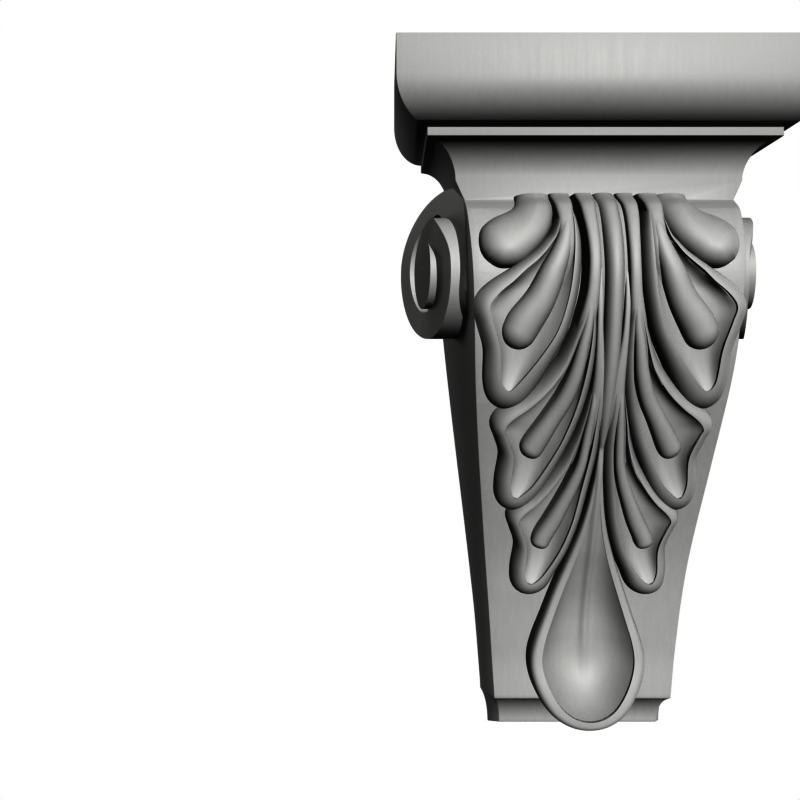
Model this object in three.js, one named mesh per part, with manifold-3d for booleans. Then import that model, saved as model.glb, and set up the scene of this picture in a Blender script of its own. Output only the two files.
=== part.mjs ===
// A carved wooden corbel bracket, in millimetres.
// The wall is the plane y = 0 and the corbel stands out from it towards -Y, with +Z up and x = 0 on its
// centreline.
// The origin is on the wall face, halfway up.
// "depth" is the distance out from the wall, and "relief" the height of the carving over the body's front.

import * as THREE from 'three';
import { mergeVertices } from 'three/addons/utils/BufferGeometryUtils.js';
import Module from 'manifold-3d';

const wasm = await Module();
wasm.setup();

// Cap: a cavetto, a fillet and an ovolo that run round the front and both sides. Its top falls forwards.
const FILLET_HALF_WIDTH = 83.8;
const FILLET_DEPTH = 77.5;
const FILLET_TOP = 132.9;
const FILLET_BOTTOM = 128.6;
const OVOLO_PROJECTION = 15.0;
const OVOLO_HEIGHT = 20.7;
const CAP_TOP_FRONT = 172.0;
const CAP_TOP_BACK = 177.9;
const CAVETTO_INSET = 14.4;
const CAVETTO_BOTTOM = 110.6;

// Neck band, then the scroll body: [height, size] knots of its front profile and of its two widths.
const BODY_TOP = 101.0;
const BODY_BOTTOM = -157.0;
const FRONT_DEPTH = [[101.0, 63.1], [94.2, 73.1], [75.5, 82.5], [58.0, 84.3], [22.3, 76.7],
  [-32.0, 54.6], [-83.6, 35.3], [-131.5, 26.9], [-157.0, 25.4]];
const FRONT_HALF_WIDTH = [[101.0, 66.3], [63.8, 62.9], [5.2, 60.4], [-101.2, 50.5], [-157.0, 46.9]];
const WALL_HALF_WIDTH = [[101.0, 66.3], [72.0, 74.5], [35.6, 72.7], [-110.0, 55.9], [-157.0, 51.9]];

// Base: a small cavetto under the body, with an underside that rises to the front.
const BODY_BOTTOM_BACK = -159.3;
const BASE_BOTTOM_FRONT = -174.0;
const BASE_BOTTOM_BACK = -177.9;
const BASE_SIDE_INSET = 4.0;
const BASE_FRONT_INSET = 12.8;

// Volutes: a spiral band of two turns on each side, on a face that closes in towards the front.
const VOLUTE_DEPTH = 33.8;
const VOLUTE_HEIGHT = 72.0;
const VOLUTE_SQUASH = 0.9;
const VOLUTE_OUTER_RADIUS = 37.8;
const VOLUTE_INNER_RADIUS = 22.1;
const VOLUTE_END_RADIUS = 13.7;
const VOLUTE_FLARE = 10.1;
const VOLUTE_GROOVE_WIDTH = 3.3;
const VOLUTE_GROOVE_DEPTH = 5.0;
const BAND_AT_WALL = 94.7;
const BAND_SLOPE = 0.373;
const EYE_AT_WALL = 91.2;
const EYE_SLOPE = 0.181;
const BAND_RISE_OUTER = 4.6;
const BAND_RISE_INNER = 2.7;
const VOLUTE_CORE = 45.0;

// Acanthus leaf: three pairs of lobes that get smaller downwards, each with a rim, a hollow and a tongue.
// fork, corner and tip are [x, height] places on the front, and root is where the lobe's strap starts.
const LOBES = [
  { fork: [-26, 80.4], corner: [-62.8, 48], tip: [-51.1, 4.2], root: [-20, 100.8], strap: 10.5, size: 1 },
  { fork: [-15, 39.4], corner: [-53.3, -7.4], tip: [-42.2, -44.4], root: [-10, 100.8], strap: 9, size: 0.8 },
  { fork: [-9.9, -10.5], corner: [-43.3, -54.7], tip: [-31.1, -92.3], root: [-4.5, 64], strap: 6, size: 0.7 },
];
const RIM_WIDTH = 8.0;
const RIM_RELIEF = 10.6;
const INNER_RIM_WIDTH = 4.4;
const TONGUE_WIDTH = 15.0;
const TONGUE_RELIEF = 11.6;
const HOLLOW_EDGE_RELIEF = 8.0;
const HOLLOW_RELIEF = 3.6;
const STRAP_RELIEF = 13.0;
const MIDRIB_WIDTH = 11.5;
const MIDRIB_RELIEF = 15.5;
const BULB_RELIEF = 10.6;

// Drop: a spoon-shaped bowl with a rolled rim that hangs over the base.
const DROP_TOP = -48.0;
const DROP_WIDEST = -131.0;
const DROP_BOTTOM = -165.0;
const DROP_HALF_WIDTH = 27.0;
const DROP_STEM_WIDTH = 4.0;
const DROP_RIM_WIDTH = 6.4;
const DROP_RIM_RELIEF = 10.6;
const DROP_LIP_RELIEF = 20.0;
const DROP_EDGE_RELIEF = 7.5;
const DROP_HOLLOW_RELIEF = 3.0;

// How deep the foot of the carving sits in the body.
const FOOT = 3.0;
const MIRRORED_SIDES = [1, -1];

const smoothstep = THREE.MathUtils.smoothstep;
const lerp = THREE.MathUtils.lerp;
const radians = THREE.MathUtils.degToRad;

// A smooth function through [position, value] knots, held level beyond both ends.
function smoothThrough(knots) {
  const sorted = [...knots].sort((p, q) => p[0] - q[0]);
  const last = sorted.length - 1;
  const slope = sorted.map((knot, i) => {
    const before = sorted[Math.max(i - 1, 0)];
    const after = sorted[Math.min(i + 1, last)];
    return (after[1] - before[1]) / (after[0] - before[0]);
  });
  return (position) => {
    const t = THREE.MathUtils.clamp(position, sorted[0][0], sorted[last][0]);
    let i = 0;
    while (i < last - 1 && t > sorted[i + 1][0]) i += 1;
    const span = sorted[i + 1][0] - sorted[i][0];
    const u = (t - sorted[i][0]) / span;
    const rise = sorted[i + 1][1] - sorted[i][1];
    const bend = u * (1 - u) * ((1 - u) * (slope[i] * span - rise) - u * (slope[i + 1] * span - rise));
    return sorted[i][1] + u * rise + bend;
  };
}

const frontDepth = smoothThrough(FRONT_DEPTH);
const frontHalfWidth = smoothThrough(FRONT_HALF_WIDTH);
const wallHalfWidth = smoothThrough(WALL_HALF_WIDTH);

// A point over the front of the body. Relief stands square to the front where that leans down, and straight
// out where it leans up.
function onFront(x, height, relief) {
  const step = 0.5;
  const lean = (frontDepth(height + step) - frontDepth(height - step)) / (2 * step);
  const tilt = Math.atan(Math.max(lean, 0));
  const depth = frontDepth(height) + relief * Math.cos(tilt);
  return new THREE.Vector3(x, -depth, height - relief * Math.sin(tilt));
}

// A closed geometry from rings of equal length, with a fan over the first and the last ring.
function loft(rings) {
  const count = rings[0].length;
  const points = rings.flat();
  const index = [];
  for (let r = 0; r + 1 < rings.length; r += 1) {
    for (let i = 0; i < count; i += 1) {
      const a = r * count + i;
      const b = r * count + (i + 1) % count;
      index.push(a, b, b + count, a, b + count, a + count);
    }
  }
  const top = (rings.length - 1) * count;
  for (let i = 1; i + 1 < count; i += 1) {
    index.push(0, i + 1, i);
    index.push(top, top + i, top + i + 1);
  }
  return new THREE.BufferGeometry().setFromPoints(points).setIndex(index);
}

// A solid that joins and cuts, from a closed geometry wound either way.
function solid(geometry) {
  const vertProperties = new Float32Array(geometry.attributes.position.array);
  const triVerts = new Uint32Array(geometry.index.array);
  const corner = [new THREE.Vector3(), new THREE.Vector3(), new THREE.Vector3()];
  let volume = 0;
  for (let t = 0; t < triVerts.length; t += 3) {
    corner.forEach((point, k) => point.fromArray(vertProperties, 3 * triVerts[t + k]));
    volume += corner[0].dot(corner[1].clone().cross(corner[2]));
  }
  if (volume < 0) {
    for (let t = 0; t < triVerts.length; t += 3) {
      [triVerts[t + 1], triVerts[t + 2]] = [triVerts[t + 2], triVerts[t + 1]];
    }
  }
  return new wasm.Manifold(new wasm.Mesh({ numProp: 3, vertProperties, triVerts }));
}

const mirrored = (points, side) => points.map((p) => new THREE.Vector3(side * p.x, p.y, p.z));

// One level of the bracket: wall corner, front corner, and the same two on the other side.
function level(halfWidth, depth, height, backHalfWidth = halfWidth, backHeight = height) {
  return [
    new THREE.Vector3(-backHalfWidth, 0, backHeight),
    new THREE.Vector3(-halfWidth, -depth, height),
    new THREE.Vector3(halfWidth, -depth, height),
    new THREE.Vector3(backHalfWidth, 0, backHeight),
  ];
}

// The bracket without its carving, from the base up to the cap.
function bracket() {
  const baseSteps = 6;
  const bodySteps = 20;
  const mouldingSteps = 8;
  const bottomWidth = frontHalfWidth(BODY_BOTTOM);
  const bottomBackWidth = wallHalfWidth(BODY_BOTTOM);
  const bottomDepth = frontDepth(BODY_BOTTOM);
  const levels = [];

  for (let i = 0; i <= baseSteps; i += 1) {
    const turn = (i / baseSteps) * Math.PI / 2;
    const inset = Math.cos(turn);
    const down = 1 - Math.sin(turn);
    levels.push(level(
      bottomWidth - BASE_SIDE_INSET * inset,
      bottomDepth - BASE_FRONT_INSET * inset,
      lerp(BODY_BOTTOM, BASE_BOTTOM_FRONT, down),
      bottomBackWidth - BASE_SIDE_INSET * inset,
      lerp(BODY_BOTTOM_BACK, BASE_BOTTOM_BACK, down),
    ));
  }

  for (let i = 1; i <= bodySteps; i += 1) {
    const height = lerp(BODY_BOTTOM, BODY_TOP, i / bodySteps);
    levels.push(level(frontHalfWidth(height), frontDepth(height), height, wallHalfWidth(height)));
  }
  for (let i = 0; i <= mouldingSteps; i += 1) {
    const turn = (i / mouldingSteps) * Math.PI / 2;
    const inset = CAVETTO_INSET * Math.cos(turn);
    const height = lerp(CAVETTO_BOTTOM, FILLET_BOTTOM, Math.sin(turn));
    levels.push(level(FILLET_HALF_WIDTH - inset, FILLET_DEPTH - inset, height));
  }
  levels.push(level(FILLET_HALF_WIDTH, FILLET_DEPTH, FILLET_TOP));
  for (let i = 1; i <= mouldingSteps; i += 1) {
    const turn = (i / mouldingSteps) * Math.PI / 2;
    const out = OVOLO_PROJECTION * Math.sin(turn);
    const height = FILLET_TOP + OVOLO_HEIGHT * (1 - Math.cos(turn));
    levels.push(level(FILLET_HALF_WIDTH + out, FILLET_DEPTH + out, height));
  }
  const capHalfWidth = FILLET_HALF_WIDTH + OVOLO_PROJECTION;
  const capDepth = FILLET_DEPTH + OVOLO_PROJECTION;
  levels.push(level(capHalfWidth, capDepth, CAP_TOP_FRONT, capHalfWidth, CAP_TOP_BACK));
  return solid(loft(levels));
}

// Radius of the volute's spiral edge. The turn counts in degrees from straight up, over the back and down.
function spiralRadius(turn) {
  const shrink = smoothstep(turn, 235, 385);
  const flare = VOLUTE_FLARE * (Math.max(20 - turn, 0) / 74) ** 2;
  const end = (VOLUTE_INNER_RADIUS - VOLUTE_END_RADIUS) * (Math.max(turn - 560, 0) / 130) ** 1.5;
  return lerp(VOLUTE_OUTER_RADIUS, VOLUTE_INNER_RADIUS, shrink) + flare - end;
}

// Distance from the centre plane out to the face of the volute's band and of its eye.
const bandFace = (depth) => BAND_AT_WALL - BAND_SLOPE * depth;
const eyeFace = (depth) => EYE_AT_WALL - EYE_SLOPE * depth;

// A point of the volute at a turn and radius, raised to a face that depends on the depth.
function onVolute(turn, radius, face) {
  const depth = VOLUTE_DEPTH - VOLUTE_SQUASH * radius * Math.sin(radians(turn));
  const height = VOLUTE_HEIGHT + radius * Math.cos(radians(turn));
  return new THREE.Vector3(face(depth, height), -depth, height);
}

// The face of the band at a turn: it leaves the body's side at the front, climbs by a rise of its edge over
// its own start after one turn, and then runs into the face of the eye.
function climbingFace(turn, rise) {
  return (depth, height) => {
    const side = lerp(wallHalfWidth(height), frontHalfWidth(height), depth / frontDepth(height));
    const start = lerp(side, bandFace(depth), smoothstep(turn, -115, -80));
    const climbed = start + rise * smoothstep(turn, 160, 265);
    return lerp(climbed, eyeFace(depth), smoothstep(turn, 270, 325));
  };
}

// A stretch of the spiral band between two turns, from its outer edge in to the next turn's edge.
function bandStretch(fromTurn, toTurn) {
  const steps = Math.round((toTurn - fromTurn) / 13);
  const core = () => VOLUTE_CORE;
  const overlap = 0.8;
  const rings = [];
  for (let i = 0; i <= steps; i += 1) {
    const turn = lerp(fromTurn, toTurn, i / steps);
    const open = smoothstep(turn, -30, 0) * (1 - smoothstep(turn, 150, 200));
    const outer = spiralRadius(turn);
    const inner = spiralRadius(turn + 360) + lerp(-overlap, VOLUTE_GROOVE_WIDTH, open);
    rings.push([
      onVolute(turn, outer, core),
      onVolute(turn, outer, climbingFace(turn, BAND_RISE_OUTER)),
      onVolute(turn, inner, climbingFace(turn, BAND_RISE_INNER)),
      onVolute(turn, inner, core),
    ]);
  }
  return rings;
}

// The eye: everything inside the last turn of the spiral, with a flat face.
function eyeRings() {
  const steps = 36;
  const firstTurn = 328;
  const foot = [];
  const face = [];
  for (let i = 0; i <= steps; i += 1) {
    const turn = lerp(firstTurn, firstTurn + 360, i / steps);
    foot.push(onVolute(turn, spiralRadius(turn), () => VOLUTE_CORE));
    face.push(onVolute(turn, spiralRadius(turn), eyeFace));
  }
  return [foot, face];
}

// The floor of the groove, under the whole volute.
function grooveFloorRings() {
  const steps = 30;
  const radius = VOLUTE_OUTER_RADIUS - VOLUTE_GROOVE_WIDTH;
  const floorFace = (depth) => bandFace(depth) - VOLUTE_GROOVE_DEPTH;
  const turns = Array.from({ length: steps }, (_, i) => (360 * i) / steps);
  return [
    turns.map((turn) => onVolute(turn, radius, () => VOLUTE_CORE)),
    turns.map((turn) => onVolute(turn, radius, floorFace)),
  ];
}

// The bracket's side outline, across its whole width: nothing of a volute stands out past it.
function sideOutline() {
  const steps = 30;
  const headroom = CAVETTO_BOTTOM + 2;
  const outline = [[0, BODY_BOTTOM], [0, headroom], [frontDepth(BODY_TOP), headroom]];
  for (let i = 0; i <= steps; i += 1) {
    const height = lerp(BODY_TOP, BODY_BOTTOM, i / steps);
    outline.push([frontDepth(height), height]);
  }
  const shape = new THREE.Shape(outline.map(([depth, height]) => new THREE.Vector2(-depth, height)));
  const across = new THREE.ExtrudeGeometry(shape, { depth: 2 * BAND_AT_WALL, bevelEnabled: false });
  across.translate(0, 0, -BAND_AT_WALL);
  const turned = new THREE.Matrix4().makeBasis(
    new THREE.Vector3(0, 1, 0),
    new THREE.Vector3(0, 0, 1),
    new THREE.Vector3(1, 0, 0),
  );
  across.applyMatrix4(turned);
  across.deleteAttribute('normal');
  across.deleteAttribute('uv');
  return solid(mergeVertices(across));
}

// One volute, on the side that x is counted towards.
function volute(side) {
  const band = [bandStretch(-118, -10), bandStretch(-12, 160), bandStretch(158, 330)];
  const parts = [...band, eyeRings(), grooveFloorRings()];
  return parts.map((rings) => solid(loft(rings.map((ring) => mirrored(ring, side)))));
}

// A rounded strand of carving along [x, height, width, relief] points, with steep sides and an arched top.
function strand(points, steps, roundEnd = false) {
  const places = points.map(([x, height]) => new THREE.Vector3(x, 0, height));
  const sizes = points.map(([, , width, relief], i) => new THREE.Vector3(i, width, relief));
  const path = new THREE.CatmullRomCurve3(places, false, 'centripetal');
  const spread = new THREE.CatmullRomCurve3(sizes);
  const rings = [];
  const endSpan = roundEnd ? points[points.length - 1][2] / (2 * path.getLength()) : 0;
  const stops = Array.from({ length: steps + 1 }, (_, i) => [(1 - endSpan) * i / steps, 1]);
  if (roundEnd) {
    for (const turn of [40, 65, 85]) {
      stops.push([1 - endSpan * (1 - Math.sin(radians(turn))), Math.cos(radians(turn))]);
    }
  }
  for (const [along, taper] of stops) {
    const t = path.getUtoTmapping(along);
    const place = path.getPoint(t);
    const heading = path.getTangent(t);
    const size = spread.getPoint(t);
    const width = size.y * taper;
    const shoulder = Math.max(size.z - 0.6 * width, 0.2 * size.z);
    const ring = [];
    const put = (across, relief) => ring.push(
      onFront(place.x - across * heading.z, place.z + across * heading.x, relief),
    );
    put(-width / 2, -FOOT);
    for (const turn of [0, 45, 90, 135, 180]) {
      put(-Math.cos(radians(turn)) * width / 2, lerp(shoulder, size.z, Math.sin(radians(turn))));
    }
    put(width / 2, -FOOT);
    rings.push(ring);
  }
  return rings;
}

// A hollow of the carving between two edges of equal length, each a list of [x, height] points.
function hollow(left, right, leftRelief, middleRelief, rightRelief) {
  return left.map(([x, height], i) => {
    const [otherX, otherHeight] = right[i];
    return [
      onFront(x, height, -FOOT),
      onFront(x, height, leftRelief),
      onFront((x + otherX) / 2, (height + otherHeight) / 2, middleRelief),
      onFront(otherX, otherHeight, rightRelief),
      onFront(otherX, otherHeight, -FOOT),
    ];
  });
}

// Evenly spaced [x, height] points on a smooth line through a few of them.
function spaced(points, count) {
  const line = new THREE.SplineCurve(points.map(([x, height]) => new THREE.Vector2(x, height)));
  return line.getSpacedPoints(count - 1).map((p) => [p.x, p.y]);
}

// One lobe of the leaf. Its lines are drawn once, as shares of the way from the fork to the corner and from
// the fork to the tip.
function lobe({ fork, corner, tip, root, strap, size }) {
  const at = ([toCorner, toTip]) => [0, 1].map(
    (k) => fork[k] + toCorner * (corner[k] - fork[k]) + toTip * (tip[k] - fork[k]),
  );
  const outerLine = [[0, 0], [0.33, 0.08], [0.68, 0.045], [0.9, 0.04], [0.8, 0.19], [0.53, 0.43],
    [0.34, 0.68], [0.19, 0.88], [0, 1]].map(at);
  const innerLine = [[-0.21, 0.03], [-0.5, 0.5], [-0.55, 0.88], [-0.3, 1.04], [0, 1]].map(at);
  const tongueLine = [[-0.11, 0.05], [-0.22, 0.33], [-0.06, 0.55], [0.06, 0.66]].map(at);
  const rim = size * RIM_WIDTH;
  const innerRim = size * INNER_RIM_WIDTH;
  const thin = strap / 3;
  const outerWidths = [thin, 0.7 * rim, 0.9 * rim, rim, rim, rim, rim, rim, rim];
  const innerWidths = [thin, innerRim, innerRim, 0.75 * rim, rim];
  const broad = size * TONGUE_WIDTH;
  const tongueWidths = [1.2 * thin, 0.6 * broad, 0.95 * broad, broad];
  const outer = outerLine.map((p, i) => [...p, outerWidths[i], RIM_RELIEF]);
  const inner = innerLine.map((p, i) => [...p, innerWidths[i], RIM_RELIEF]);
  const tongue = tongueLine.map((p, i) => [...p, tongueWidths[i], TONGUE_RELIEF]);
  const fromRoot = (shift, width) => [root[0] + shift, root[1], width, STRAP_RELIEF];
  const left = spaced(outerLine, 9);
  const right = spaced(innerLine, 9);
  return [
    strand([fromRoot(-thin, 1.3 * thin), ...outer], 24),
    strand([fromRoot(thin, 1.3 * thin), ...inner], 13),
    strand([fromRoot(0, 1.3 * thin), ...tongue], 9, true),
    hollow(left, right, HOLLOW_EDGE_RELIEF, HOLLOW_RELIEF, HOLLOW_EDGE_RELIEF),
  ];
}

// The bulb beside the top of the leaf: a fat teardrop that hangs outwards.
function bulb() {
  return [strand([
    [-33.4, 100.8, 16.0, STRAP_RELIEF], [-37.0, 93.0, 19.0, BULB_RELIEF], [-42.5, 85.0, 24.0, BULB_RELIEF],
    [-49.0, 78.5, 26.0, BULB_RELIEF], [-58.5, 70.5, 25.0, BULB_RELIEF]], 6, true)];
}

// One side of the drop's rim, from the stem round to the middle of the lip, and half of its bowl.
function dropHalf() {
  const rimLine = [[0.08, DROP_TOP], [0.34, -82.0], [0.75, -106.0], [1.0, DROP_WIDEST], [0.83, -151.0],
    [0.45, -162.0], [0.0, DROP_BOTTOM]].map(([share, height]) => [-share * DROP_HALF_WIDTH, height]);
  const drop = (height) => smoothstep(-height, -DROP_WIDEST, -DROP_BOTTOM);
  const widthAt = (height) => lerp(DROP_STEM_WIDTH, DROP_RIM_WIDTH, smoothstep(-height, 60, 110));
  const reliefAt = (height) => lerp(DROP_RIM_RELIEF, DROP_LIP_RELIEF, drop(height));
  const rim = rimLine.map(([x, height]) => [x, height, widthAt(height), reliefAt(height)]);
  const edge = spaced(rimLine, 10);
  const middle = edge.map(([, height]) => [0.8, height]);
  return [
    strand(rim, 20),
    hollow(edge, middle, DROP_EDGE_RELIEF, DROP_HOLLOW_RELIEF, DROP_HOLLOW_RELIEF),
  ];
}

// The midrib, from the top of the leaf down into the bowl of the drop.
function midrib() {
  return [strand([
    [0, 100.8, MIDRIB_WIDTH, STRAP_RELIEF], [0, 60, MIDRIB_WIDTH, MIDRIB_RELIEF], [0, 0, 8.0, MIDRIB_RELIEF],
    [0, -50, 5.0, 11.0], [0, -100, 3.5, 6.5], [0, -140, 3.0, 4.2]], 16)];
}

function carving() {
  const strands = [];
  for (const side of MIRRORED_SIDES) {
    for (const rings of [...LOBES.flatMap(lobe), ...bulb(), ...dropHalf()]) {
      strands.push(solid(loft(rings.map((ring) => mirrored(ring, side)))));
    }
  }
  for (const rings of midrib()) strands.push(solid(loft(rings)));
  return strands;
}

// Everything joined into the one carved block.
function carvedBlock() {
  const outline = sideOutline();
  let block = bracket();
  for (const side of MIRRORED_SIDES) {
    for (const part of volute(side)) block = block.add(part.intersect(outline));
  }
  for (const part of carving()) block = block.add(part);
  const { vertProperties, triVerts } = block.getMesh();
  const geometry = new THREE.BufferGeometry();
  geometry.setAttribute('position', new THREE.BufferAttribute(vertProperties, 3));
  geometry.setIndex(new THREE.BufferAttribute(triVerts, 1));
  geometry.computeVertexNormals();
  return geometry;
}

const greyWood = new THREE.MeshStandardMaterial({ color: 0x9a9a98, roughness: 0.6, metalness: 0 });
const corbel = new THREE.Mesh(carvedBlock(), greyWood);
corbel.name = 'corbel';
const bracketGroup = new THREE.Group();
bracketGroup.add(corbel);

export default bracketGroup;
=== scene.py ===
import math

import bmesh
import bpy
import numpy as np
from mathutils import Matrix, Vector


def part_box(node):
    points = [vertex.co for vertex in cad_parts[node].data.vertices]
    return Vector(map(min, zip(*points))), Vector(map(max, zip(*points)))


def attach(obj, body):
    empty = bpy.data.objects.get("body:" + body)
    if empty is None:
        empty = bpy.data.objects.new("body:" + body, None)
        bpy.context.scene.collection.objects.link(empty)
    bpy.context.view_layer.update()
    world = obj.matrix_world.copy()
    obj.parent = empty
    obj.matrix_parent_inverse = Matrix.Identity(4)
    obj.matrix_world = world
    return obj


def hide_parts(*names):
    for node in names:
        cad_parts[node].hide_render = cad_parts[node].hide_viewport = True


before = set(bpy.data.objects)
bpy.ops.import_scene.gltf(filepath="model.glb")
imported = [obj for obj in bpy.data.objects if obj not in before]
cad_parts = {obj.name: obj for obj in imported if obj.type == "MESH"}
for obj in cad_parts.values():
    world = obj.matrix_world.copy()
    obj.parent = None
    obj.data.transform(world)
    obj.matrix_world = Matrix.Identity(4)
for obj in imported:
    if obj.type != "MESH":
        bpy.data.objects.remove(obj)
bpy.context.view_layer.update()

# The block.
# Cap, neck, tapering body and base are one length of wood: the front is bandsawn to an S, and the
# mouldings of the cap are run round the front and both sides with shaped cutters, mitred at the corners.
# All of it wears a thin coat of satin grey paint that lets the close grain show faintly.
MM = 0.001
block_low, block_high = (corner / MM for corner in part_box("corbel"))
OVOLO_PROJECTION = 15.0
OVOLO_HEIGHT = 20.7
CAP_HALF_WIDTH = block_high.x + 1.2
CAP_DEPTH = 92.5
CAP_TOP_FRONT = 172.0
CAP_TOP_BACK = block_high.z
FILLET_TOP = 132.9
FILLET_BOTTOM = 128.6
CAVETTO_INSET = 14.4
CAVETTO_BOTTOM = 110.6
BODY_TOP = 101.0
BODY_BOTTOM = -157.0
BODY_BOTTOM_BACK = -159.3
BODY_HEIGHTS = np.linspace(BODY_BOTTOM, BODY_TOP, 130)
BASE_BOTTOM_FRONT = -174.0
BASE_BOTTOM_BACK = block_low.z
BASE_SIDE_INSET = 4.0
BASE_FRONT_INSET = 12.8
BASE_ARC = math.radians(65)
ARRIS = 0.45
FRONT_DEPTH = [(-157, 25.4), (-131.5, 26.9), (-83.6, 35.3), (-32, 54.6), (22.3, 76.7), (58, 84.3),
               (75.5, 82.5), (94.2, 73.1), (101, 63.1)]
FRONT_HALF_WIDTH = [(-157, 46.9), (-101.2, 51.1), (5.2, 61.2), (63.8, 63.9), (101, 66.3)]
WALL_HALF_WIDTH = [(-157, 51.9), (-110, 55.9), (35.6, 72.7), (72, 74.5), (101, 66.3)]


def smooth_through(knots):
    """A smooth function through (position, value) knots, held level beyond both ends."""
    at, value = np.array(knots, float).T
    before = np.r_[0, np.arange(len(at) - 1)]
    after = np.r_[np.arange(1, len(at)), len(at) - 1]
    slope = (value[after] - value[before]) / (at[after] - at[before])

    def read(position):
        place = np.clip(position, at[0], at[-1])
        i = np.clip(np.searchsorted(at, place, side="left") - 1, 0, len(at) - 2)
        span = at[i + 1] - at[i]
        rise = value[i + 1] - value[i]
        u = (place - at[i]) / span
        bend = u * (1 - u) * ((1 - u) * (slope[i] * span - rise) - u * (slope[i + 1] * span - rise))
        return value[i] + u * rise + bend

    return read


front_depth = smooth_through(FRONT_DEPTH)
front_half_width = smooth_through(FRONT_HALF_WIDTH)
wall_half_width = smooth_through(WALL_HALF_WIDTH)


def closed_loft(name, rings):
    """A closed mesh object through rings of equal length in millimetres, with a flat cap on each end."""
    rings = np.asarray(rings, float)
    steps, count, _ = rings.shape
    step, place = np.meshgrid(np.arange(steps - 1), np.arange(count), indexing="ij")
    here = step * count + place
    beside = step * count + (place + 1) % count
    walls = np.stack([here, beside, beside + count, here + count], -1).reshape(-1, 4)
    points = rings.reshape(-1, 3)
    a, b, c, d = (points[walls[:, k]] for k in range(4))
    outwards = np.einsum("ij,ij->", a, np.cross(b, c)) + np.einsum("ij,ij->", a, np.cross(c, d)) > 0
    first = list(range(count))
    last = list(range((steps - 1) * count, steps * count))
    faces = walls.tolist() + [first[::-1], last]
    if not outwards:
        faces = [face[::-1] for face in faces]
    mesh = bpy.data.meshes.new(name)
    mesh.from_pydata((points * MM).tolist(), [], faces)
    mesh.shade_smooth()
    made = bpy.data.objects.new(name, mesh)
    bpy.context.scene.collection.objects.link(made)
    return made


def level(half_width, depth, height, back_half_width=None, back_height=None):
    """One level of the block: wall corner, front corner, and the same two on the other side."""
    back_half_width = half_width if back_half_width is None else back_half_width
    back_height = height if back_height is None else back_height
    return [(-back_half_width, 0, back_height), (-half_width, -depth, height),
            (half_width, -depth, height), (back_half_width, 0, back_height)]


def block_levels():
    """The block's levels from the base up to the top of the cap."""
    quarter = np.linspace(0, math.pi / 2, 13)
    fillet_half_width = CAP_HALF_WIDTH - OVOLO_PROJECTION
    fillet_depth = CAP_DEPTH - OVOLO_PROJECTION
    sweep = quarter / quarter[-1] * BASE_ARC
    base_inset = (np.cos(sweep) - math.cos(BASE_ARC)) / (1 - math.cos(BASE_ARC))
    for inset, down in zip(base_inset, 1 - np.sin(sweep) / math.sin(BASE_ARC)):
        yield level(front_half_width(BODY_BOTTOM) - BASE_SIDE_INSET * inset,
                    front_depth(BODY_BOTTOM) - BASE_FRONT_INSET * inset,
                    BODY_BOTTOM + (BASE_BOTTOM_FRONT - BODY_BOTTOM) * down,
                    wall_half_width(BODY_BOTTOM) - BASE_SIDE_INSET * inset,
                    BODY_BOTTOM_BACK + (BASE_BOTTOM_BACK - BODY_BOTTOM_BACK) * down)
    for height in BODY_HEIGHTS[1:]:
        yield level(front_half_width(height), front_depth(height), height, wall_half_width(height))
    for turn in quarter:
        inset = CAVETTO_INSET * math.cos(turn)
        yield level(fillet_half_width - inset, fillet_depth - inset,
                    CAVETTO_BOTTOM + (FILLET_BOTTOM - CAVETTO_BOTTOM) * math.sin(turn))
    yield level(fillet_half_width, fillet_depth, FILLET_TOP)
    for turn in quarter[1:]:
        out = OVOLO_PROJECTION * math.sin(turn)
        yield level(fillet_half_width + out, fillet_depth + out,
                    FILLET_TOP + OVOLO_HEIGHT * (1 - math.cos(turn)))
    yield level(CAP_HALF_WIDTH, CAP_DEPTH, CAP_TOP_FRONT, CAP_HALF_WIDTH, CAP_TOP_BACK)


class Nodes:
    """A node tree with one method for adding any node."""

    def __init__(self, tree):
        self.tree = tree

    def node(self, kind, settings=None, **values):
        """Adds a node, applies its settings, then sets or links its sockets by name or by _number."""
        made = self.tree.nodes.new(kind)
        for name, setting in (settings or {}).items():
            setattr(made, name, setting)
        for name, value in values.items():
            key = int(name[1:]) if name[0] == "_" else name.replace("_", " ")
            self.plug(made.inputs[key], value)
        return made

    def plug(self, socket, value):
        if isinstance(value, Field):
            self.tree.links.new(value.socket, socket)
        elif isinstance(value, bpy.types.NodeSocket):
            self.tree.links.new(value, socket)
        else:
            socket.default_value = value

    def field(self, kind, settings=None, output=0, **values):
        return Field(self, self.node(kind, settings, **values).outputs[output])


class Field:
    """A number that changes from place to place: arithmetic on it adds Math nodes to its tree."""

    def __init__(self, nodes, socket):
        self.nodes = nodes
        self.socket = socket

    def math(self, operation, *values):
        numbered = {f"_{i}": value for i, value in enumerate(values)}
        return self.nodes.field("ShaderNodeMath", {"operation": operation}, **numbered)

    def __add__(self, other):
        return self.math("ADD", self, other)

    def __sub__(self, other):
        return self.math("SUBTRACT", self, other)

    def __rsub__(self, other):
        return self.math("SUBTRACT", other, self)

    def __mul__(self, other):
        return self.math("MULTIPLY", self, other)

    def __truediv__(self, other):
        return self.math("DIVIDE", self, other)

    def __rtruediv__(self, other):
        return self.math("DIVIDE", other, self)

    def __pow__(self, other):
        return self.math("POWER", self, other)

    def __rpow__(self, other):
        return self.math("POWER", other, self)

    __radd__ = __add__
    __rmul__ = __mul__

    def above(self, floor):
        return self.math("MAXIMUM", self, floor)

    def sine(self):
        return self.math("SINE", self)

    def cosine(self):
        return self.math("COSINE", self)

    def towards(self, other, share):
        return self + (other - self) * share

    def eased(self, low, high):
        """0 below low, 1 above high and a smooth step between them."""
        return self.nodes.field("ShaderNodeMapRange", {"interpolation_type": "SMOOTHSTEP"},
                                Value=self, From_Min=low, From_Max=high)


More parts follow.
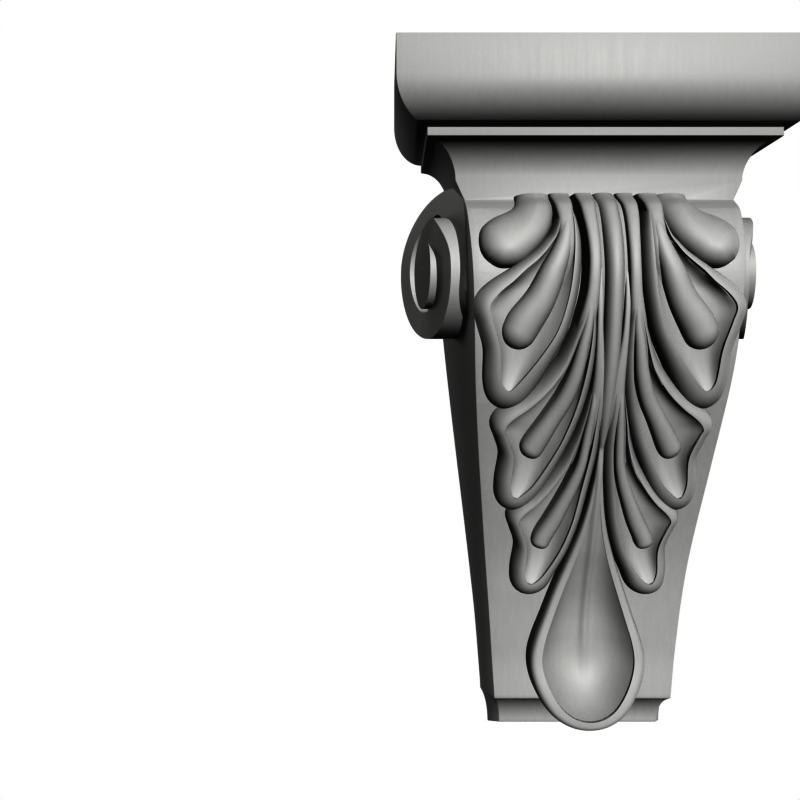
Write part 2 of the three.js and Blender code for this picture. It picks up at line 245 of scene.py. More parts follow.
GRAIN_STRETCH = (420, 420, 26)
GRAIN_SHARE = 0.35
CLOUD_SHARE = 0.4
SPECKLE_SHARE = 0.2
PAINT_DARK = (0.28, 0.28, 0.276, 1)
PAINT_LIGHT = (0.36, 0.36, 0.356, 1)
PAINT_ROUGHNESS = 0.62
paint = bpy.data.materials.new("painted_wood")
paint.use_nodes = True
paint.node_tree.nodes.clear()
coat = Nodes(paint.node_tree)
spot = coat.node("ShaderNodeTexCoord").outputs["Object"]
stretched = coat.node("ShaderNodeVectorMath", {"operation": "MULTIPLY"}, _0=spot, _1=GRAIN_STRETCH)
grain = coat.field("ShaderNodeTexNoise", Vector=stretched.outputs[0], Scale=1.0, Detail=5.0, Roughness=0.6)
speckle = coat.field("ShaderNodeTexNoise", Vector=spot, Scale=900.0, Detail=2.0)
cloud = coat.field("ShaderNodeTexNoise", Vector=spot, Scale=18.0, Detail=3.0)
tone = 0.5 + (grain - 0.5) * GRAIN_SHARE + (cloud - 0.5) * CLOUD_SHARE + (speckle - 0.5) * SPECKLE_SHARE
grey = coat.node("ShaderNodeMix", {"data_type": "RGBA"}, _0=tone, _6=PAINT_DARK, _7=PAINT_LIGHT).outputs[2]
sheen = PAINT_ROUGHNESS + (grain - 0.5) * 0.2 + (cloud - 0.5) * 0.1
relief = coat.node("ShaderNodeBump", Strength=0.12, Distance=0.0004, Height=grain * 0.7 + speckle * 0.3)
film = coat.node("ShaderNodeBsdfPrincipled", Base_Color=grey, Roughness=sheen, Normal=relief.outputs[0])
coat.node("ShaderNodeOutputMaterial", Surface=film.outputs[0])

corbel = closed_loft("carved_corbel", list(block_levels()))
arrises = corbel.modifiers.new("arrises", "BEVEL")
arrises.width = ARRIS * MM
arrises.segments = 2
arrises.limit_method = "ANGLE"
arrises.angle_limit = math.radians(40)
carved_forms = []

# The volutes.
# On each side the edge of the body rolls up into a flat spiral band, carved in low steps: it leaves the
# body at the front, goes once over and behind, climbs over its own start and runs into a flat eye.
VOLUTE_SIZES = {
    "Centre depth": 33.8, "Centre height": 72.0, "Core": 45.0, "Squash": 0.9,
    "Outer radius": 37.8, "Inner radius": 22.1, "End radius": 13.7, "Flare": 10.1, "Eye plug": 6.0,
    "Groove width": 3.3, "Groove depth": 5.0,
    "Band at wall": 96.2, "Band slope": 0.42, "Eye at wall": 91.7, "Eye slope": 0.185,
    "Side at wall": 66.5, "Side slope": 0.095,
    "Rise at outer edge": 4.6, "Rise at inner edge": 4.3, "Fall above": 70.0, "Fall": 0.0038,
}
GROOVE_OVERLAP = 0.8
# Each pair is the turns of the spiral, in degrees from the top, over which the band changes.
FLARING = (-54, 20)
NARROWING = (235, 385)
CURLING = (560, 690)
GROOVE_OPENING = (-30, 0)
GROOVE_CLOSING = (150, 200)
LIFTING_INSIDE = (-165, -110)
LIFTING_OUTSIDE = (-100, -48)
CLIMBING = (160, 265)
LEVELLING = (270, 325)


def volute_tree():
    """Geometry Nodes that bend straight bars into the stretches of the spiral and join them."""
    tree = bpy.data.node_groups.new("spiral volute", "GeometryNodeTree")
    nodes = Nodes(tree)
    for name in VOLUTE_SIZES:
        tree.interface.new_socket(name, in_out="INPUT", socket_type="NodeSocketFloat")
    tree.interface.new_socket("Geometry", in_out="OUTPUT", socket_type="NodeSocketGeometry")
    entry = nodes.node("NodeGroupInput")
    size = {name: Field(nodes, entry.outputs[name]) for name in VOLUTE_SIZES}
    where = nodes.node("GeometryNodeInputPosition").outputs[0]
    place = nodes.node("ShaderNodeSeparateXYZ", Vector=where)
    along, across, rise = (Field(nodes, place.outputs[k]) for k in range(3))

    def radius(turn):
        settled = size["Outer radius"].towards(size["Inner radius"], turn.eased(*NARROWING))
        flare = size["Flare"] * ((FLARING[1] - turn).above(0) / (FLARING[1] - FLARING[0])) ** 2
        curl = ((turn - CURLING[0]).above(0) / (CURLING[1] - CURLING[0])) ** 1.5
        return settled + flare - (size["Inner radius"] - size["End radius"]) * curl

    def band_face(depth):
        return size["Band at wall"] - size["Band slope"] * depth

    def eye_face(depth):
        return size["Eye at wall"] - size["Eye slope"] * depth

    def out_to(face, depth, height):
        """The level of a face, which falls away towards the top of the volute."""
        return face(depth) - size["Fall"] * (height - size["Fall above"]).above(0) ** 2

    def bent(bar, turn, reach, face):
        """The bar with its points moved to a turn and a reach from the centre, up to a face."""
        angle = turn * (math.pi / 180)
        depth = size["Centre depth"] - size["Squash"] * reach * angle.sine()
        height = size["Centre height"] + reach * angle.cosine()
        out = size["Core"].towards(out_to(face, depth, height), rise)
        spot = nodes.field("ShaderNodeCombineXYZ", X=out * MM, Y=depth * -MM, Z=height * MM)
        return nodes.node("GeometryNodeSetPosition", Geometry=bar, Position=spot).outputs[0]

    def bar(steps):
        """A closed bar that runs from 0 to 1 along, across and in rise."""
        box = nodes.node("GeometryNodeMeshCube", Vertices_X=steps, Vertices_Y=15, Vertices_Z=2,
                         Size=(1, 1, 1)).outputs[0]
        return nodes.node("GeometryNodeTransform", Geometry=box, Translation=(0.5, 0.5, 0.5)).outputs[0]

    def stretch(first, last):
        """The band from one turn to another, between its own edge and the edge of the next turn."""
        turn = first + (last - first) * along
        opened = turn.eased(*GROOVE_OPENING) * (1 - turn.eased(*GROOVE_CLOSING))
        gap = opened * (size["Groove width"] + GROOVE_OVERLAP) - GROOVE_OVERLAP
        reach = (radius(turn + 360) + gap).towards(radius(turn), across)
        climb = size["Rise at inner edge"].towards(size["Rise at outer edge"], across) * turn.eased(*CLIMBING)
        ends = zip(LIFTING_INSIDE, LIFTING_OUTSIDE)
        lift = turn.eased(*(inside + (outside - inside) * across for inside, outside in ends))

        def face(depth):
            side = size["Side at wall"] - size["Side slope"] * depth
            start = side.towards(band_face(depth), lift)
            return (start + climb).towards(eye_face(depth), turn.eased(*LEVELLING))

        return bent(bar(round((last - first) / 2)), turn, reach, face)

    def eye(first, last):
        turn = first + (last - first) * along
        return bent(bar(round((last - first) / 4)), turn, radius(turn) * across + 1 - across, eye_face)

    def disc(reach, face):
        """A round plug about the centre of the spiral."""
        made = nodes.node("GeometryNodeMeshCylinder", {"fill_type": "NGON"}, Vertices=96, Radius=1.0,
                          Depth=1.0).outputs["Mesh"]
        depth = size["Centre depth"] - size["Squash"] * reach * along
        height = size["Centre height"] + reach * across
        out = size["Core"].towards(out_to(face, depth, height), rise + 0.5)
        spot = nodes.field("ShaderNodeCombineXYZ", X=out * MM, Y=depth * -MM, Z=height * MM)
        return nodes.node("GeometryNodeSetPosition", Geometry=made, Position=spot).outputs[0]

    def groove_floor(depth):
        return band_face(depth) - size["Groove depth"]

    forms = [stretch(-152, -10), stretch(-12, 160), stretch(158, 330), eye(328, 510), eye(508, CURLING[1]),
             disc(size["Outer radius"] - size["Groove width"], groove_floor),
             disc(size["Eye plug"], eye_face)]
    joined = nodes.node("GeometryNodeMeshBoolean", {"operation": "UNION", "solver": "MANIFOLD"})
    for form in forms:
        tree.links.new(form, joined.inputs["Mesh 2"])
    real = nodes.node("GeometryNodeRealizeInstances", Geometry=joined.outputs[0])
    painted = nodes.node("GeometryNodeSetMaterial", Geometry=real.outputs[0], Material=paint)
    leave = nodes.node("NodeGroupOutput")
    tree.links.new(painted.outputs[0], leave.inputs[0])
    return tree


def plain_mesh(made):
    """The object's mesh with its modifiers applied and taken off."""
    bpy.context.view_layer.update()
    evaluated = made.evaluated_get(bpy.context.evaluated_depsgraph_get())
    mesh = bpy.data.meshes.new_from_object(evaluated)
    made.modifiers.clear()
    made.data = mesh
    return made


def mirrored(made, name):
    """A copy of an object on the other side of the centreline, facing out."""
    mesh = made.data.copy()
    points = np.zeros(3 * len(mesh.vertices), np.float32)
    mesh.vertices.foreach_get("co", points)
    points[::3] *= -1
    mesh.vertices.foreach_set("co", points)
    mesh.flip_normals()
    copy = bpy.data.objects.new(name, mesh)
    bpy.context.scene.collection.objects.link(copy)
    return copy


volute = bpy.data.objects.new("volute_right", bpy.data.meshes.new("volute_right"))
bpy.context.scene.collection.objects.link(volute)
spiral = volute.modifiers.new("spiral", "NODES")
spiral.node_group = volute_tree()
for socket in spiral.node_group.interface.items_tree:
    if socket.name in VOLUTE_SIZES:
        spiral[socket.identifier] = VOLUTE_SIZES[socket.name]
PRISM_TOP = CAVETTO_BOTTOM + 2
PRISM_REACH = 110
side_outline = [(0, PRISM_TOP), (0, BODY_BOTTOM)]
side_outline += [(-front_depth(height), height) for height in BODY_HEIGHTS]
side_outline += [(-front_depth(BODY_TOP), PRISM_TOP)]
side_prism = closed_loft("side_prism", [[(x, y, z) for y, z in side_outline]
                                        for x in (-PRISM_REACH, PRISM_REACH)])
trim = volute.modifiers.new("trim", "BOOLEAN")
trim.operation = "INTERSECT"
trim.solver = "MANIFOLD"
trim.object = side_prism
plain_mesh(volute)
bpy.data.objects.remove(side_prism)
carved_forms += [volute, mirrored(volute, "volute_left")]

# The leaf.
# An acanthus leaf lies on the front: from the neck hang straps that fork into three lobes a side, each a
# raised rim round a hollow with a tongue laid in it. All of it is cut from the block with gouges.
FOOT = -3.0
LEAF_TOP = 102.2
RIM_RELIEF = 10.6
HOLLOW_EDGE_RELIEF = 10.0
HOLLOW_RELIEF = 3.4
STEEP_COVE = 6.5
STEEP_FLOOR = 2.4
STEEP_END = 0.64
STEEP_FADE = 0.2
STEEP_EDGE = 0.4
SCOOP_START = 0.6
UNDER_RIM = 0.8
# Each row of the left half's lobes is x, height, width and relief. Rows without a relief have the rim's.
LOBES = {
    "upper": {
        "strap": [(-21.2, LEAF_TOP, 9.6, 10.4), (-21.2, 100.4, 9.4, 12), (-21.1, 94, 8.4, 12.6),
                  (-21, 88, 7.4, 12.8), (-21.1, 82, 7.4, 12.6), (-21.6, 77, 8.4, 12), (-22.6, 72, 10, 10.8),
                  (-24.2, 66, 12, 8.8), (-26.4, 60, 14, 6.4), (-28.6, 54, 15.5, 4)],
        "rim": [(-23.2, 91, 1, 11), (-23.9, 86.5, 1.8, 12.4), (-24.9, 81.8, 2.6, 12.2),
                (-26.4, 78, 3.2, 11.6), (-28.5, 75, 3.8, 11), (-31.8, 70.6, 4.3), (-36.2, 66.4, 4.7),
                (-44, 60, 5.4), (-53, 53, 6.4), (-56.8, 47.5, 7), (-55.2, 41, 7.2), (-51.6, 29, 7.3),
                (-50.2, 15, 8.4), (-47.2, 10.8, 11.5), (-43.5, 12.8, 11), (-33, 25.2, 8), (-25.3, 37, 6.2),
                (-21, 50.3, 5.4), (-19, 62, 5.1), (-18.2, 72, 4.8, 11.6), (-17.9, 80, 4.2, 12.4),
                (-18, 88, 2.8, 12.6), (-18.5, 95, 1, 11)],
        "tongue": [(-21, 91, 3.2, 12), (-21, 84, 5, 13), (-23.2, 74, 8, 12.4), (-27.4, 63, 11.2, 11.8),
                   (-33.2, 50.2, 14.2, 11.6), (-40.1, 40.1, 16.8, 11.6), (-42.4, 36.2, 16.6, 11.6)],
    },
    "middle": {
        "strap": [(-9.9, LEAF_TOP, 8.2, 10.6), (-9.9, 100.4, 8, 12.2), (-10, 91, 6.8, 12.8),
                  (-9.4, 79, 5.8, 13.2), (-9.2, 67, 5.4, 13.4), (-9.7, 56, 5.7, 13.2), (-10.4, 50, 6.3, 13),
                  (-11.3, 44, 7.4, 12.6), (-12.1, 38, 8.8, 11.8), (-12.9, 32, 10, 10.4), (-14, 25, 11, 8.4),
                  (-15.3, 17, 12, 6), (-16.8, 9, 12.5, 4)],
        "rim": [(-11, 54, 1, 11.4), (-12, 48, 1.6, 12.6), (-13.4, 42.5, 2.2, 12.4), (-15, 37, 2.8, 12),
                (-18, 27.4, 3.7, 11), (-21.3, 19.8, 4.3), (-28.2, 10.4, 4.6), (-36.2, 2.9, 4.8),
                (-44.5, -3.2, 5.6), (-47.6, -7.4, 6.4), (-46.2, -11, 6.6), (-42.6, -22, 6.6),
                (-43.3, -36, 7.2), (-41, -42.4, 9.6), (-37, -40.6, 9.6), (-31, -34.4, 7.6),
                (-21.6, -17.5, 6), (-17, -6.1, 5.6), (-13.8, 4.5, 5.3), (-11.5, 16, 5, 11),
                (-10.2, 26.4, 4.6, 11.8), (-9.6, 36, 3.7, 12.7), (-9.4, 46, 2.2, 12.8), (-9.4, 54, 1, 11.5)],
        "tongue": [(-10.4, 56, 2, 11.8), (-10.7, 50, 2.8, 12.8), (-11.5, 40, 4.2, 13),
                   (-13, 31.7, 5.2, 12.8), (-15.5, 18.8, 6.8, 12.2), (-19.4, 7.1, 8, 11.8),
                   (-25.5, -3.9, 9, 11.6), (-32.2, -15.6, 11.2, 11.6), (-33.6, -18, 11.2, 11.6)],
    },
    "lower": {
        "strap": [(-6, 80, 1.4, 4), (-6.2, 64, 2, 8.6), (-6.3, 52, 2.6, 11.4), (-6, 38, 3, 12.4),
                  (-5.3, 27, 4.2, 12.5), (-4.4, 17, 6.4, 12.5), (-4.3, 9, 7.8, 12.4), (-4.8, 2, 9.2, 12.1),
                  (-5.5, -4, 10.4, 11.5), (-6.4, -12, 11.6, 9.8), (-7.6, -20, 12.4, 7.6), (-9, -28, 13, 5)],
        "rim": [(-7.6, 10, 1, 11), (-8.8, 2.5, 1.6, 12.2), (-10.1, -4.3, 2.2, 12.2), (-12.2, -14.5, 3, 11.4),
                (-15.9, -25.5, 3.6, 11), (-22, -36, 4), (-29.1, -44.9, 4.3), (-35.9, -51.2, 5.2),
                (-38, -54.8, 5.8), (-36.6, -58.8, 6), (-33.2, -70, 5.8), (-33.7, -83.5, 6.6),
                (-31.4, -89.7, 8.8), (-27.4, -88.4, 8.8), (-22.7, -82.6, 6.8), (-16.2, -70.3, 6),
                (-11.4, -55.5, 5.4), (-8.3, -38, 5.3), (-6.5, -27, 5.2, 11), (-5.4, -18, 5, 11.6),
                (-4.8, -9, 4.6, 12.2), (-4.4, 0, 4, 12.6), (-4, 10, 3.2, 12.6), (-3.5, 22, 2, 11)],
        "tongue": [(-6, 14, 2, 11.6), (-6.6, 4, 3, 12.6), (-7.6, -8, 4.2, 12.5), (-9.4, -24.8, 5, 12.2),
                   (-12.6, -36, 6.3, 11.8), (-16.2, -45, 7.2, 11.6), (-20.8, -55.5, 8.6, 11.6),
                   (-25.2, -64, 9.2, 11.6), (-26.2, -66.6, 9.2, 11.6)],
    },
}


def path_through(rows, steps):
    """Points evenly spaced along a smooth path through rows of x, height and further values."""
    rows = np.array(rows, float)
    knots = np.r_[0, np.cumsum(np.sqrt(np.hypot(*np.diff(rows[:, :2], axis=0).T)))]
    fine = np.linspace(0, knots[-1], 40 * len(rows))
    dense = np.stack([smooth_through(list(zip(knots, column)))(fine) for column in rows.T], -1)
    run = np.r_[0, np.cumsum(np.hypot(*np.diff(dense[:, :2], axis=0).T))]
    even = np.linspace(0, run[-1], steps)
    return np.stack([np.interp(even, run, column) for column in dense.T], -1)


def right_of(path):
    """The unit direction to the right of a path of x and height, as seen from the front."""
    along = np.gradient(path[:, :2], axis=0)
    along /= np.linalg.norm(along, axis=1, keepdims=True)
    return np.stack([along[:, 1], -along[:, 0]], -1)


def on_front(x, height, relief):
    """Points at a relief from the front, square to it where the front leans in below."""
    x, height, relief = np.broadcast_arrays(x, height, relief)
    on_body = np.maximum(height, BODY_BOTTOM + 0.5)
    lean = front_depth(on_body + 0.5) - front_depth(on_body - 0.5)
    tilt = np.arctan(np.maximum(lean, 0))
    depth = front_depth(height) + relief * np.cos(tilt)
    return np.stack([x, -depth, height - relief * np.sin(tilt)], -1)


def strand(name, rows, steps, round_end=False, crown=0.5, fullness=2.2, lean=0.5):
    """A strand with sides that lean out to the foot and a rounded crown, through rows of four sizes."""
    path = path_through(rows, steps)
    side = right_of(path)
    x, height, width, relief = path.T
    if round_end:
        turn = np.linspace(0, math.pi / 2, 10)[1:-1]
        ahead = np.array([-side[-1, 1], side[-1, 0]])
        reach = width[-1] / 2 * np.sin(turn)
        x = np.r_[x, x[-1] + ahead[0] * reach]
        height = np.r_[height, height[-1] + ahead[1] * reach]
        side = np.vstack([side, np.repeat(side[-1:], len(turn), 0)])
        relief = np.r_[relief, HOLLOW_RELIEF + (relief[-1] - HOLLOW_RELIEF) * np.cos(turn) ** 0.9]
        width = np.r_[width, width[-1] * np.cos(turn)]
    turn = np.linspace(-math.pi / 2, math.pi / 2, 15)
    share = np.sign(turn) * np.abs(np.sin(turn)) ** (2 / fullness)
    arch = np.clip(np.cos(turn), 0, None) ** (2 / fullness)
    shoulder = np.maximum(relief - crown * width, np.minimum(2, 0.5 * relief))
    across = np.tile(share, (len(x), 1)) * width[:, None] / 2
    across = np.c_[across[:, 0] - lean, across, across[:, -1] + lean]
    up = shoulder[:, None] + (relief - shoulder)[:, None] * arch
    up = np.c_[np.full(len(x), FOOT), up, np.full(len(x), FOOT)]
    rings = on_front(x[:, None] + side[:, :1] * across, height[:, None] + side[:, 1:] * across, up)
    return closed_loft(name, rings)


def rim_band(name, rows, steps, fullness):
    """A raised rim: upright inside along a path, rounding down outside over the path's width."""
    path = path_through(rows, 12 * steps)
    foot = path[:, :2] + right_of(path) * path[:, 2:3]
    stride = np.hypot(*np.diff(path[:, :2], axis=0).T) + np.hypot(*np.diff(foot, axis=0).T)
    run = np.r_[0, np.cumsum(stride)]
    path = np.stack([np.interp(np.linspace(0, run[-1], steps), run, column) for column in path.T], -1)
    side = right_of(path)
    x, height, width, relief = path.T
    turn = np.linspace(0, math.pi / 2, 12)
    share = np.r_[0, 0, np.sin(turn[1:]) ** (2 / fullness), 1]
    arch = np.r_[0, 1, np.clip(np.cos(turn[1:]), 0, None) ** (2 / fullness), 0]
    across = width[:, None] * share
    up = relief[:, None] * arch
    up[:, [0, -1]] = FOOT
    rings = on_front(x[:, None] + side[:, :1] * across, height[:, None] + side[:, 1:] * across, up)
    return closed_loft(name, rings)


def between(sides, steps, across_steps):
    """A grid of x and height between two lines that start and end together."""
    left, right = (path_through(side, steps + 2)[1:-1] for side in sides)
    return left[:, None] + (right - left)[:, None] * np.linspace(0, 1, across_steps)[:, None]


def distance_to(line, grid):
    """How far each place of a grid is from the nearest point of a line."""
    return np.sqrt(((grid[:, :, None] - line) ** 2).sum(-1)).min(-1)


def patch(name, grid, relief):
    """A closed patch of the front: a surface at a relief over a grid of x and height."""
    grid = np.concatenate([grid[:, :1], grid, grid[:, -1:]], 1)
    relief = np.c_[np.full(len(grid), FOOT), relief, np.full(len(grid), FOOT)]
    return closed_loft(name, on_front(grid[..., 0], grid[..., 1], relief))


def dish_grid(rim, tip, steps=56, across_steps=25):
    """The grid of a hollow between both sides of a rim, a little under the rim, and its edge."""
    edge = rim[:, :2] + right_of(rim) * UNDER_RIM
    turn_at = np.argmin(np.hypot(*(edge - np.array(tip)).T))
    return between((edge[:turn_at + 1:2], edge[:turn_at - 1:-2]), steps, across_steps), edge


def hollow(name, rim, tip):
    """The floor inside a lobe: it rises to the tip, coves up to the rim, and is steep off the outer arm."""
    grid, _ = dish_grid(rim, tip)
    down = np.linspace(0, 1, len(grid))[:, None]
    over = np.linspace(-1, 1, grid.shape[1])
    scoop = np.clip((down - SCOOP_START) / (1 - SCOOP_START), 0, 1) ** 3
    floor = HOLLOW_RELIEF + (HOLLOW_EDGE_RELIEF - HOLLOW_RELIEF) * scoop
    gentle = floor + (HOLLOW_EDGE_RELIEF - floor) * np.abs(over) ** 3
    close = np.clip(1 - distance_to(rim[:, :2], grid) / STEEP_COVE, 0, 1)
    steep = STEEP_FLOOR + (HOLLOW_EDGE_RELIEF - STEEP_FLOOR) * (1 - np.sqrt(1 - close ** 2))
    share = np.clip((STEEP_END - down) / STEEP_FADE, 0, 1) * np.clip(STEEP_EDGE - over, 0, 1)
    return patch(name, grid, gentle + (steep - gentle) * share)


for lobe_name, lobe in LOBES.items():
    rim_rows = [row + (RIM_RELIEF,) * (4 - len(row)) for row in lobe["rim"]]
    tip = min(rim_rows, key=lambda row: row[1])[:2]
    left = [strand(lobe_name + "_strap", lobe["strap"], 60, crown=0.42, fullness=2.5, lean=1.4),
            rim_band(lobe_name + "_rim", rim_rows, 160, 2.0),
            hollow(lobe_name + "_hollow", path_through(rim_rows, 240), tip),
            strand(lobe_name + "_tongue", lobe["tongue"], 70, round_end=True)]
    carved_forms += left + [mirrored(form, form.name + "_right") for form in left]

BULB_OUTSIDE = [(-41.6, LEAF_TOP), (-42.3, 97.2), (-44.5, 94), (-48.1, 91.8), (-52.1, 90.1), (-56.1, 87.4),
                (-59.6, 83.8), (-60.9, 78.5), (-60.2, 72.8), (-58, 68.6)]
BULB_INSIDE = [(-24.6, LEAF_TOP), (-24.6, 95), (-25.2, 90), (-27.6, 82.6), (-31, 76.8), (-36.5, 70.7),
               (-41.3, 66.6), (-47, 64.7), (-52.5, 65), (-58, 68.6)]
BULB_ROUND = 12.5
BULB_RELIEF = 11.0
bulb_line = np.vstack([path_through(BULB_OUTSIDE, 160), path_through(BULB_INSIDE, 160)[::-1]])
bulb_grid = between((BULB_OUTSIDE, BULB_INSIDE), 40, 31)
bulb_grid[0, :, 1] = LEAF_TOP
bulb_in = np.clip(distance_to(bulb_line, bulb_grid) / BULB_ROUND, 0, 1)
bulb = patch("bulb", bulb_grid, BULB_RELIEF * (1 - (1 - bulb_in) ** 2.2) ** (1 / 2.2))
CENTRE_BED = [(0, LEAF_TOP, 17, 7), (0, 97, 17, 9.4), (0, 80, 16.5, 10.2), (0, 60, 16, 10.4),
              (0, 40, 14.5, 10), (0, 22, 12, 9), (0, 6, 9, 6), (0, -8, 5, 2)]
MIDRIB = [(0, LEAF_TOP, 10.4, 11), (0, 100.4, 10.2, 12.6), (0, 90, 9.8, 13.8), (0, 78, 9.6, 15),
          (0, 60, 9, 15.5), (0, 42, 8.8, 15.2), (0, 32, 8.8, 14.9), (0, 24, 8.8, 14.5), (0, 16, 8.6, 14),
          (0, 8, 8, 13.4), (0, 0, 7, 12.6), (0, -8, 5.2, 11.4), (0, -16, 3.2, 9.8), (0, -24, 1.6, 7.6)]
midrib = strand("midrib", MIDRIB, 70, crown=0.8, lean=1.2)
centre_bed = strand("centre_bed", CENTRE_BED, 50, crown=0.22, fullness=2)
carved_forms += [bulb, mirrored(bulb, "bulb_right"), centre_bed, midrib]

# The drop.
# Below the lobes the leaf ends in a hanging drop: a rounded rim about a deep bowl with a low ridge down its
# middle, its lip standing out over the base. It belongs to the same carving.
DROP_RIM = [(-0.2, 2, 0.6, 6.5), (-0.25, -14, 1.1, 9), (-0.35, -24, 1.6, 9.6), (-0.5, -31.5, 1.9, 9.9),
            (-1.1, -40, 2.4, 10), (-2.6, -51, 2.6, 10), (-4.9, -63.5, 3.2, 10), (-9, -79, 4, 10),
            (-14.4, -96, 4.6, 10.2), (-19.2, -111, 5, 11), (-22.4, -121.5, 5.6, 12),
            (-23.8, -130.5, 6.4, 13), (-22.8, -139, 7, 14.4), (-19.4, -148, 7.2, 16.4),
            (-14, -155.6, 7, 18.4), (-7.4, -160.1, 6.4, 19.6), (0, -161.6, 6, 20)]
BOWL_FLOOR = [(-162, 0.5), (-115, 0.5), (-103, 1.6), (-88, 4.6), (-70, 7.8), (-45, 9.1), (-28, 8.9), (2, 5.5)]
BOWL_CENTRE = -121.5
BOWL_HOLLOWING = 2.8
RIDGE_HALF_WIDTH = 2.2
RIDGE_RELIEF = 1.4
RIDGE_BOTTOM = -152
RIDGE_FADE = 34
drop_rows = DROP_RIM + [(-x, height, width, relief) for x, height, width, relief in DROP_RIM[-2::-1]]
drop_rim = path_through(drop_rows, 300)
bowl_grid, bowl_edge = dish_grid(drop_rim, DROP_RIM[-1][:2], 76, 45)
bowl_x, bowl_z = bowl_grid[..., 0], bowl_grid[..., 1]
edge_reach = np.abs(bowl_edge[:len(bowl_edge) // 2] - (0, BOWL_CENTRE))
edge_drop = BOWL_CENTRE - bowl_edge[:len(bowl_edge) // 2, 1]
bowl_below = np.maximum(BOWL_CENTRE - bowl_z, 0)
edge_angle = np.arctan2(np.maximum(edge_drop, 0), edge_reach[:, 0])
reach_at = np.interp(np.arctan2(bowl_below, np.abs(bowl_x)), edge_angle[edge_drop > 0],
                     np.hypot(*edge_reach[edge_drop > 0].T))
half_width_at = np.interp(-bowl_z, edge_drop - BOWL_CENTRE, edge_reach[:, 0])
bowl_share = np.where(bowl_below > 0, np.hypot(bowl_x, bowl_below) / reach_at, np.abs(bowl_x) / half_width_at)
rim_height = smooth_through([(height, relief - 0.9) for _, height, _, relief in DROP_RIM[::-1]])
bowl_floor = smooth_through(BOWL_FLOOR)(bowl_z)
bowl = bowl_floor + (rim_height(bowl_z) - bowl_floor) * np.clip(bowl_share, 0, 1) ** BOWL_HOLLOWING
ridge_fade = np.clip((bowl_z - RIDGE_BOTTOM) / RIDGE_FADE, 0, 1)
bowl += RIDGE_RELIEF * ridge_fade * np.exp(-(bowl_x / RIDGE_HALF_WIDTH) ** 2)
carved_forms += [rim_band("drop_rim", drop_rows, 190, 4.5), patch("drop_bowl", bowl_grid, bowl)]

# The finished carving.
# All the carved forms are one with the block, so they are joined to it into a single closed skin,
# sanded along its edges, painted all over and fixed to the wall by its flat back.
SHORTEST_EDGE = 0.001
SHARP_EDGE = math.radians(32)
BACK_FACING = 0.999
for form in carved_forms:
    join = corbel.modifiers.new(form.name, "BOOLEAN")
    join.operation = "UNION"
    join.solver = "MANIFOLD"
    join.object = form
plain_mesh(corbel)
for form in carved_forms:
    bpy.data.objects.remove(form)
# The joins leave edges shorter than a hair, which are closed up.
skin = bmesh.new()
skin.from_mesh(corbel.data)
bmesh.ops.collapse(skin, edges=[edge for edge in skin.edges if edge.calc_length() < SHORTEST_EDGE * MM])
skin.to_mesh(corbel.data)
skin.free()
corbel.data.set_sharp_from_angle(angle=SHARP_EDGE)
for face in corbel.data.polygons:
    face.use_smooth = face.normal.y < BACK_FACING
corbel.data.materials.clear()
corbel.data.materials.append(paint)
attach(corbel, "root")
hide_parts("corbel")
# No light bounces off the carving, so its hollows stay dark.
corbel.visible_diffuse = False

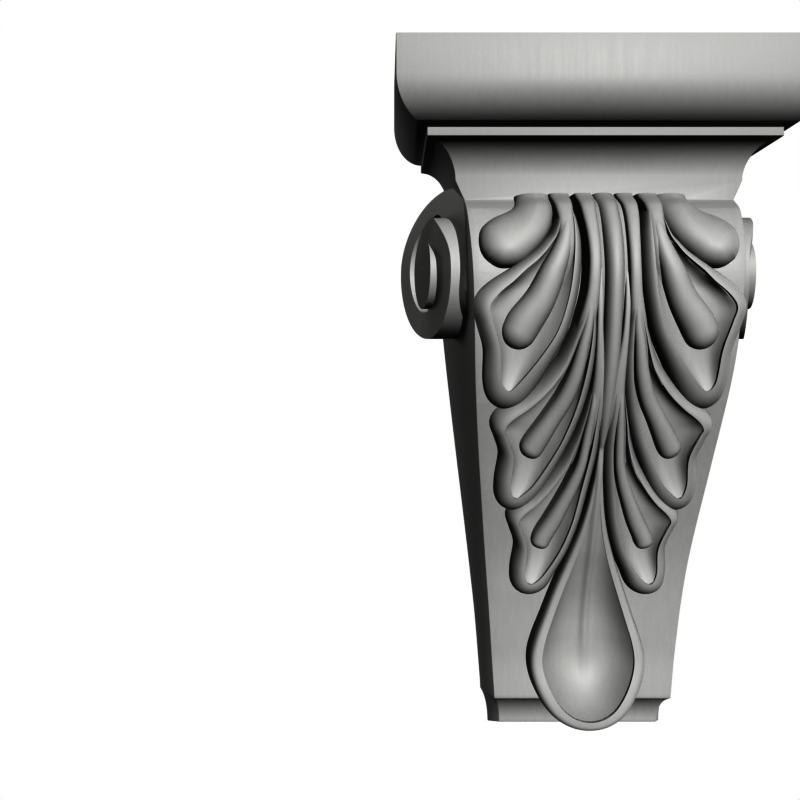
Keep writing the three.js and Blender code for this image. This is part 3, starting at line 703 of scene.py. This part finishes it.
# The stage.
# A round pale floor lies below the hanging bracket in a white surround. A broad light from the camera's
# side shows the carving, and four weaker ones from behind keep the sides, the top and the back readable.
FLOOR_RADIUS = 0.8
FLOOR_LEVEL = -0.6
FLOOR_SIDES = 128
floor_turn = np.arange(FLOOR_SIDES) * (2 * math.pi / FLOOR_SIDES)
floor_x = FLOOR_RADIUS * np.cos(floor_turn)
floor_y = FLOOR_RADIUS * np.sin(floor_turn)
floor_mesh = bpy.data.meshes.new("floor")
floor_mesh.from_pydata([(x, y, FLOOR_LEVEL) for x, y in zip(floor_x, floor_y)], [], [range(FLOOR_SIDES)])
floor = bpy.data.objects.new("floor", floor_mesh)
bpy.context.scene.collection.objects.link(floor)
pale = bpy.data.materials.new("floor_pale")
pale.use_nodes = True
pale.node_tree.nodes["Principled BSDF"].inputs["Base Color"].default_value = (0.5, 0.5, 0.5, 1)
pale.node_tree.nodes["Principled BSDF"].inputs["Roughness"].default_value = 0.9
floor_mesh.materials.append(pale)
floor.visible_diffuse = False

SURROUND_LIGHT = 0.025
world = bpy.data.worlds.new("studio")
bpy.context.scene.world = world
world.use_nodes = True
world.node_tree.nodes.clear()
air = Nodes(world.node_tree)
seen = air.node("ShaderNodeLightPath").outputs["Is Camera Ray"]
strength = air.field("ShaderNodeMapRange", Value=seen, To_Min=SURROUND_LIGHT, To_Max=1.0)
white = air.node("ShaderNodeBackground", Color=(1, 1, 1, 1), Strength=strength)
air.node("ShaderNodeOutputWorld", Surface=white.outputs[0])


def studio_light(name, azimuth, elevation, strength):
    """A broad even light from a bearing round to the right of the front and a height above level."""
    lamp = bpy.data.lights.new(name, "SUN")
    lamp.energy = strength
    lamp.angle = math.radians(20)
    made = bpy.data.objects.new(name, lamp)
    made.rotation_euler = (math.radians(90 - elevation), 0, math.radians(azimuth))
    bpy.context.scene.collection.objects.link(made)
    return made


# The broad key light casts no shadow, so the slopes of the carving alone shade it.
studio_light("key", 9, 19, 7.0).data.use_shadow = False
for rear_light in (studio_light("right_rear", 120, 5, 4.2), studio_light("left_rear", -140, 5, 3.0),
                   studio_light("top_rear", 180, 60, 3.2), studio_light("below_rear", 180, -50, 2.0)):
    rear_light.visible_glossy = False
bpy.context.scene.view_settings.view_transform = "Standard"
bpy.context.scene.view_settings.gamma = 0.38

camera = bpy.data.objects.new("camera", bpy.data.cameras.new("camera"))
camera.location = (-0.1045, -0.5134, 0.0091)
camera.rotation_euler = (math.pi / 2, 0, 0)
camera.data.lens = 41.22
camera.data.sensor_width = 36
camera.data.shift_x = 0.0172
camera.data.shift_y = -0.0166
camera.data.clip_start = 0.01
bpy.context.scene.collection.objects.link(camera)
bpy.context.scene.camera = camera
